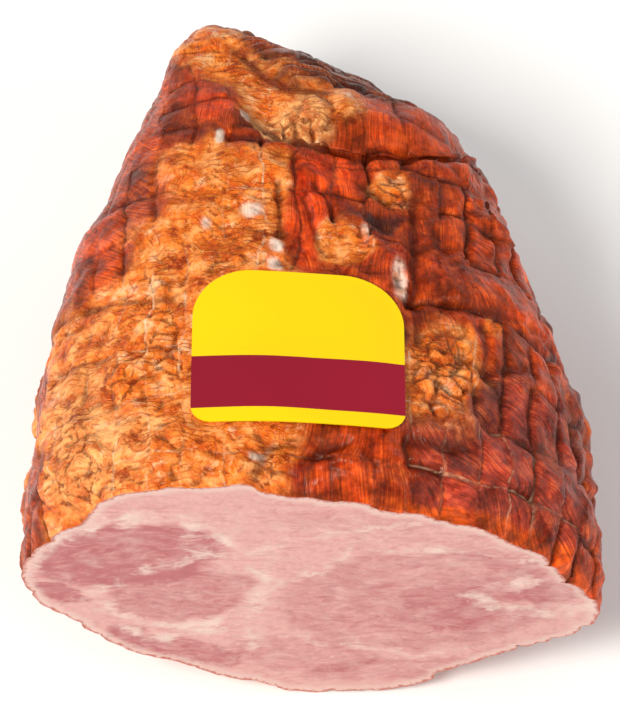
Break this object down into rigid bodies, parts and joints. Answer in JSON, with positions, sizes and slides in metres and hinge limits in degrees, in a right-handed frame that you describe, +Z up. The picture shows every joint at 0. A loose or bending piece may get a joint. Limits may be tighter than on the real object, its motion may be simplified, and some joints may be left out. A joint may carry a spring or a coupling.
{
  "type": "smoked ham",
  "caption": "Boneless smoked pork neck ham, a rounded netted piece cut square across one end, lying on its belly, with a plain paper label on its back.",
  "frame": {"origin": "under the middle of the ham, on the surface that it lies on", "axes": "+Z up; the cut face looks along -Y and the tapered end points along +Y; +X is the right side seen from the cut face"},
  "size_m": [0.1478, 0.1748, 0.1062],
  "materials": {
    "smoked_meat": "smoked and moist, golden fat and red-brown lean, with a pink cut face",
    "label_paper": "coated paper, yellow with a dark red band"
  },
  "bodies": {
    "root": {"ham": "smoked_meat", "label": "label_paper"}
  },
  "joints": []
}
